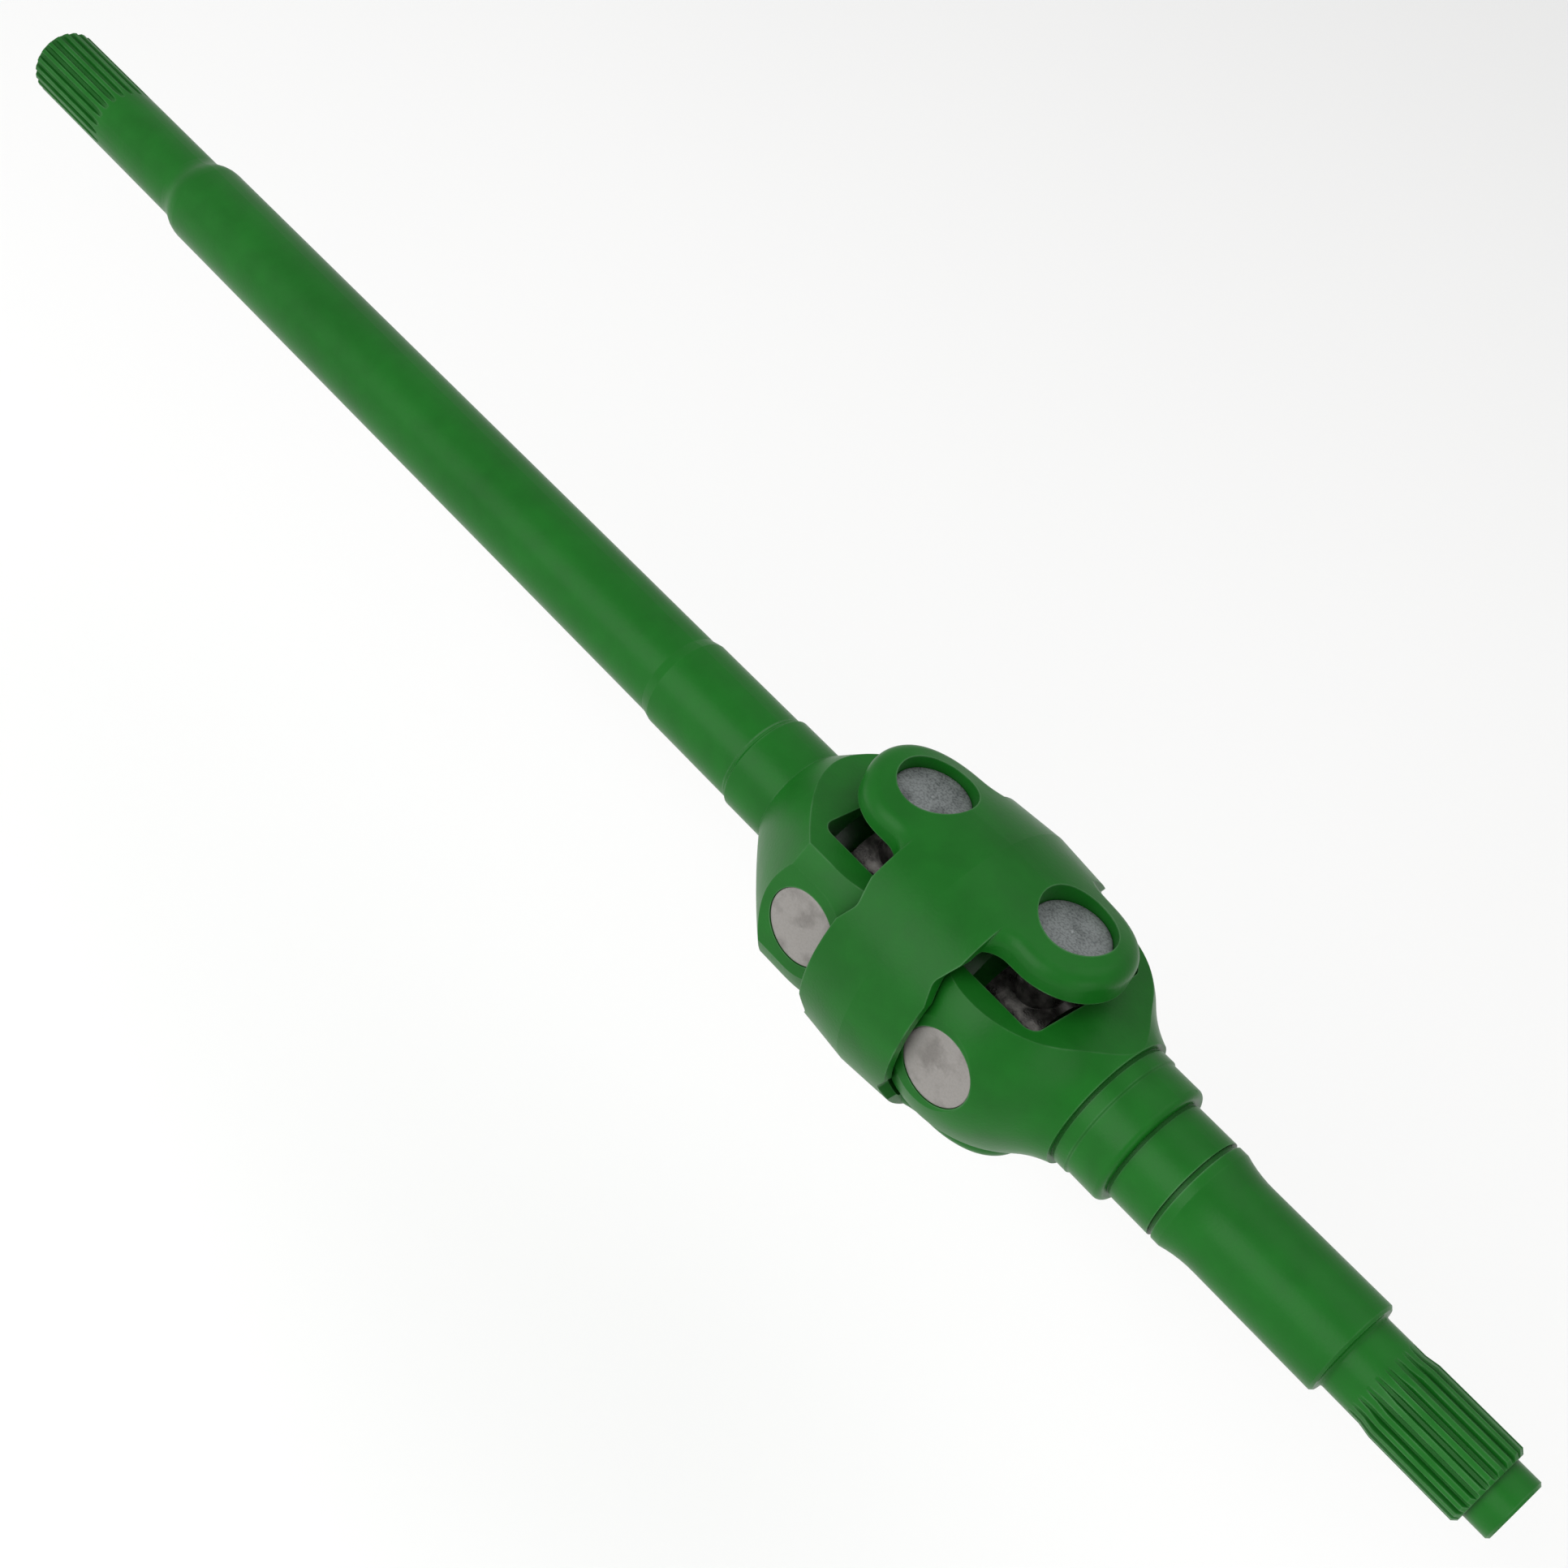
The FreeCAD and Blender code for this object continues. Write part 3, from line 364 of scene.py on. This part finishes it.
def seal_rubber():
    """Matt black nitrile with a faint bloom."""
    finish = Finish("seal_rubber", NITRILE, 0.7)
    bloom = finish.noise(3 * MM, 3)
    finish.set("Base Color", finish.blend(finish.ramp(bloom, (0.45, 0.0), (0.7, 1.0)), NITRILE, BLOOM))
    finish.set("Roughness", bloom * 0.2 + 0.6)
    return finish.material


def floor_paint(colour):
    """Pale, almost even floor."""
    finish = Finish("pale_floor", colour, 0.85)
    cloud = finish.noise(0.8, 3)
    dusty = tuple(c * 0.985 for c in colour)
    finish.set("Base Color", finish.blend(cloud, colour, dusty))
    return finish.material


def coat(names, material):
    """Put one material on every slot of some CAD nodes."""
    for name in names:
        mesh = frame["nodes"][name].data
        mesh.materials.clear()
        mesh.materials.append(material)


# Pieces

CAP_FLOOR = 2.5 * MM
CAP_WALL = 3.06 * MM
CAP_MOUTH_CHAMFER = 0.4 * MM
CAP_GROOVE = (1.0 * MM, 2.5 * MM)  # from the mouth to the clip groove's two sides
CAP_GROOVE_DEPTH = 1.0 * MM
DISH_RIM = 0.90  # share of a cap's radius where its dish starts
DISH_FLOOR = 0.86  # share of a cap's radius where its dish reaches full depth
NIPPLE_OUTLINE = (  # (radius, distance from the cross centre) in mm, from the thread to the ball
    (0, 10.5), (2.5, 10.5), (3.0, 11.0), (3.0, 17.8), (2.6, 17.8), (2.6, 20.8), (2.2, 21.7),
    (2.2, 23.4), (2.45, 23.7), (2.9, 24.1), (3.15, 24.6), (3.15, 25.0), (2.8, 25.6),
    (2.2, 26.2), (1.5, 26.5), (0.9, 26.5), (0.7, 26.2), (0, 25.9),
)
NIPPLE_SEGMENTS = 48
HEXAGON_RADIUS = 4.0 * MM
HEXAGON_HEIGHT = 2.8 * MM
HEXAGON_PLACE = 19.3 * MM  # from the cross centre to the hexagon's middle
HEXAGON_BEVEL = 0.25 * MM
TURNED_CREASE = math.radians(40)  # turned edges sharper than this stay crisp
NIPPLE_CREASE = math.radians(35)


def centre_of(node):
    low, high = (Vector(corner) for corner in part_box(node))
    return (low + high) / 2


def cross_centre(end):
    """Where the two axes of one cross meet, from its forged cross."""
    return centre_of(f"{end}_cross")


def outward(node, end):
    """The direction from a cross centre to one of its bearings, along an axis."""
    reach = centre_of(node) - cross_centre(end)
    axis = max(range(3), key=lambda i: abs(reach[i]))
    direction = Vector((0, 0, 0))
    direction[axis] = math.copysign(1, reach[axis])
    return direction


def pointing(direction, foot):
    """The transform that stands +Z along a direction, with the origin at foot."""
    return Matrix.Translation(foot) @ UP.rotation_difference(direction).to_matrix().to_4x4()


def turned(name, profile, direction, foot, segments, material):
    """A piece spun from (radius, height) corners about an axis that leaves foot in a direction."""
    work = bmesh.new()
    corners = [work.verts.new((radius, 0, height)) for radius, height in profile]
    edges = [work.edges.new(pair) for pair in zip(corners, corners[1:])]
    bmesh.ops.spin(work, geom=corners + edges, cent=(0, 0, 0), axis=UP,
                   angle=math.tau, steps=segments, use_merge=True)
    bmesh.ops.remove_doubles(work, verts=work.verts, dist=1e-6)
    bmesh.ops.recalc_face_normals(work, faces=work.faces)
    bmesh.ops.transform(work, matrix=pointing(direction, foot), verts=work.verts)
    mesh = bpy.data.meshes.new(name)
    work.to_mesh(mesh)
    work.free()
    mesh.materials.append(material)
    mesh.shade_smooth()
    mesh.set_sharp_from_angle(angle=TURNED_CREASE)
    piece = bpy.data.objects.new(name, mesh)
    bpy.context.scene.collection.objects.link(piece)
    return piece


def rounded_rim(radius, height, size, steps=5):
    """Corners round the outer edge at (radius, height), from the side up to the end face."""
    angles = [math.pi / 2 * step / steps for step in range(steps + 1)]
    return [(radius - size + size * math.cos(angle), height - size + size * math.sin(angle))
            for angle in angles]


def stand_for(piece, node):
    """Put a finished piece in place of its CAD node, on the same body."""
    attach(piece, BODY_OF[node])
    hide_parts(node)


class JOINTSHAFT_OT_enamel(bpy.types.Operator):
    """Spray the forks, the bar and the centre yoke with green enamel"""
    bl_idname = "jointshaft.enamel"
    bl_label = "Enamel the forgings"

    def execute(self, context):
        coat(PAINTED, enamel(context.scene.jointshaft_paint))
        return {"FINISHED"}


class JOINTSHAFT_OT_bearings(bpy.types.Operator):
    """Finish the crosses, rollers, washers, seals and clips"""
    bl_idname = "jointshaft.bearings"
    bl_label = "Finish the bearings"

    def execute(self, context):
        names = frame["nodes"]
        polished = machined_steel("polished_steel", POLISHED, 0.22, 4 * MM)
        spring = machined_steel("phosphated_steel", PHOSPHATED, 0.5, 3 * MM, metallic=0.7)
        coat([n for n in names if n.endswith("_cross")], forged_steel(context.scene.jointshaft_steel))
        coat([n for n in names if n.endswith(("_needles", "_washers"))], polished)
        coat([n for n in names if n.endswith("_clips")], spring)
        coat([n for n in names if n.endswith("_seals")], seal_rubber())
        return {"FINISHED"}


class JOINTSHAFT_OT_caps(bpy.types.Operator):
    """Make the eight bearing caps, with rounded rims, a shallow dish and a punch mark"""
    bl_idname = "jointshaft.caps"
    bl_label = "Bearing caps"

    def execute(self, context):
        settings = context.scene.jointshaft_caps
        steel = context.scene.jointshaft_steel
        ground = cap_steel("cap_steel", steel.cap_colour, steel.stain_colour, 0.15)
        # The yoke's caps get a darker, speckled steel; its darkness is painted shade for caps that face
        # up and down.
        speckled_and_shaded = cap_steel("speckled_shaded_cap_steel", steel.shaded_yoke_cap_colour, steel.speckle_colour, 0.6)
        for end in ENDS:
            for side in SIDES:
                in_yoke = f"{end}_{side}_cup" in BODY_NODES["yoke"]
                make_cap(end, side, settings, speckled_and_shaded if in_yoke else ground)
        return {"FINISHED"}


def make_cap(end, side, settings, material):
    """One cap, standing on its CAD node's place, with its clip groove."""
    node = f"{end}_{side}_cup"
    direction = outward(node, end)
    low, high = (Vector(corner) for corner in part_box(node))
    size = high - low
    axis = max(range(3), key=lambda i: abs(direction[i]))
    radius = size[(axis + 1) % 3] / 2
    length = size[axis]
    bore = radius - CAP_WALL
    groove_foot, groove_top = CAP_GROOVE
    groove_radius = radius - CAP_GROOVE_DEPTH
    pip = settings.pip_radius
    face = length - settings.dish_depth
    profile = [
        (0, length - CAP_FLOOR),
        (bore, length - CAP_FLOOR),
        (bore, 0),
        (radius - CAP_MOUTH_CHAMFER, 0),
        (radius, CAP_MOUTH_CHAMFER),
        (radius, groove_foot),
        (groove_radius, groove_foot),
        (groove_radius, groove_top),
        (radius, groove_top),
        *rounded_rim(radius, length, settings.rim_round),
        (radius * DISH_RIM, length),
        (radius * DISH_FLOOR, face),
        (pip * 2.2, face),
        (pip * 1.6, face + 0.05 * MM),
        (pip, face),
        (pip * 0.5, face - 0.25 * MM),
        (0, face - 0.3 * MM),
    ]
    foot = centre_of(node) - direction * length / 2
    piece = turned(f"{end}_{side}_cap", profile, direction, foot, settings.segments, material)
    stand_for(piece, node)


class JOINTSHAFT_OT_nipples(bpy.types.Operator):
    """Make the grease nipple of each cross, with its hexagon and ball"""
    bl_idname = "jointshaft.nipples"
    bl_label = "Grease nipples"

    def execute(self, context):
        plated = machined_steel("plated_steel", PLATED, 0.3, 2 * MM)
        for end in ENDS:
            make_nipple(end, plated)
        return {"FINISHED"}


def make_nipple(end, material):
    """A nipple along the notch between two arms, spun in its round parts, with a hexagon seat."""
    node = f"{end}_grease_nipple"
    centre = cross_centre(end)
    reach = centre_of(node) - centre
    direction = Vector((0, reach.y, reach.z)).normalized()
    profile = [(radius * MM, height * MM) for radius, height in NIPPLE_OUTLINE]
    piece = turned(f"{end}_nipple", profile, direction, centre, NIPPLE_SEGMENTS, material)
    hexagon = bmesh.new()
    bmesh.ops.create_cone(hexagon, cap_ends=True, segments=6, radius1=HEXAGON_RADIUS,
                          radius2=HEXAGON_RADIUS, depth=HEXAGON_HEIGHT)
    bmesh.ops.bevel(hexagon, geom=hexagon.edges[:], offset=HEXAGON_BEVEL, segments=2,
                    profile=0.5, affect="EDGES", material=-1)
    bmesh.ops.transform(hexagon, matrix=pointing(direction, centre + direction * HEXAGON_PLACE),
                        verts=hexagon.verts)
    hexagon.from_mesh(piece.data)
    hexagon.to_mesh(piece.data)
    hexagon.free()
    piece.data.shade_smooth()
    piece.data.set_sharp_from_angle(angle=NIPPLE_CREASE)
    stand_for(piece, node)


# Stage

SURROUND_STRENGTH = 0.72


class JOINTSHAFT_OT_stage(bpy.types.Operator):
    """Set the floor, the soft lights and the camera"""
    bl_idname = "jointshaft.stage"
    bl_label = "Stage"

    def execute(self, context):
        settings = context.scene.jointshaft_stage
        make_floor(settings)
        make_lights()
        make_camera(context.scene, settings)
        return {"FINISHED"}


def make_floor(settings):
    """A flat square, low enough under the shaft for the bar to swing down to its limits."""
    low, high = (Vector(corner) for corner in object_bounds())
    work = bmesh.new()
    bmesh.ops.create_grid(work, x_segments=4, y_segments=4, size=settings.floor_size / 2)
    place = Matrix.Translation(((low.x + high.x) / 2, 0, low.z - settings.floor_drop))
    bmesh.ops.transform(work, matrix=place, verts=work.verts)
    mesh = bpy.data.meshes.new("floor")
    work.to_mesh(mesh)
    work.free()
    mesh.materials.append(floor_paint(settings.floor_colour))
    floor = bpy.data.objects.new("floor", mesh)
    bpy.context.scene.collection.objects.link(floor)
    floor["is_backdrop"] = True


def make_light(name, place, target, size, power):
    """A square soft light at place, facing target."""
    light = bpy.data.lights.new(name, "AREA")
    light.size = size
    light.energy = power
    holder = bpy.data.objects.new(name, light)
    holder.location = place
    holder.rotation_euler = (Vector(target) - Vector(place)).to_track_quat("-Z", "Y").to_euler()
    bpy.context.scene.collection.objects.link(holder)


def make_lights():
    """A broad front light, a weaker one overhead, a faint one beyond the wheel end and an even
    pale surround."""
    middle = (-0.25, 0, 0)
    shoulder = (0, 0, 0)
    make_light("front_light", (-0.9, -2.6, 1.3), middle, 2.4, 51)
    make_light("end_light", (2.2, -0.9, 0.5), shoulder, 1.2, 7)
    make_light("overhead_light", (0.3, 0.4, 3.0), middle, 2.6, 20)
    world = bpy.data.worlds.new("surround")
    world.use_nodes = True
    background = world.node_tree.nodes["Background"]
    background.inputs["Color"].default_value = (1, 1, 1, 1)
    background.inputs["Strength"].default_value = SURROUND_STRENGTH
    bpy.context.scene.world = world


def make_camera(scene, settings):
    """The camera, turned so that its picture's upper edge follows the given direction."""
    aim = Vector(settings.camera_aim).normalized()
    across = aim.cross(Vector(settings.camera_up)).normalized()
    up = across.cross(aim)
    turn = Matrix((across, up, -aim)).transposed().to_4x4()
    lens = bpy.data.cameras.new("camera")
    lens.lens = settings.lens
    lens.sensor_width = 36
    lens.clip_start = 0.01
    lens.clip_end = 50
    camera = bpy.data.objects.new("camera", lens)
    camera.matrix_world = Matrix.Translation(settings.camera_place) @ turn
    scene.collection.objects.link(camera)
    scene.camera = camera
    scene.view_settings.view_transform = "Standard"


# Panel and registration

OPERATORS = (
    JOINTSHAFT_OT_enamel,
    JOINTSHAFT_OT_bearings,
    JOINTSHAFT_OT_caps,
    JOINTSHAFT_OT_nipples,
    JOINTSHAFT_OT_stage,
)
GROUPS = {
    "jointshaft_paint": PaintSettings,
    "jointshaft_steel": SteelSettings,
    "jointshaft_caps": CapSettings,
    "jointshaft_stage": StageSettings,
}


class JOINTSHAFT_PT_panel(bpy.types.Panel):
    """Lists the steps that finish the shaft"""
    bl_idname = "JOINTSHAFT_PT_panel"
    bl_label = "Joint shaft"
    bl_space_type = "VIEW_3D"
    bl_region_type = "UI"
    bl_category = "Joint shaft"

    def draw(self, context):
        for operator in OPERATORS:
            self.layout.operator(operator.bl_idname)
        for name in GROUPS:
            group = getattr(context.scene, name)
            box = self.layout.box()
            for key in group.__annotations__:
                box.prop(group, key)


def register():
    for group in GROUPS.values():
        bpy.utils.register_class(group)
    for name, group in GROUPS.items():
        setattr(bpy.types.Scene, name, PointerProperty(type=group))
    for operator in OPERATORS:
        bpy.utils.register_class(operator)
    bpy.utils.register_class(JOINTSHAFT_PT_panel)


def unregister():
    bpy.utils.unregister_class(JOINTSHAFT_PT_panel)
    for operator in reversed(OPERATORS):
        bpy.utils.unregister_class(operator)
    for name in GROUPS:
        delattr(bpy.types.Scene, name)
    for group in GROUPS.values():
        bpy.utils.unregister_class(group)


def main():
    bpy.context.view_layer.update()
    register()
    for operator in OPERATORS:
        family, name = operator.bl_idname.split(".")
        getattr(getattr(bpy.ops, family), name)()


if __name__ == "__main__":
    main()
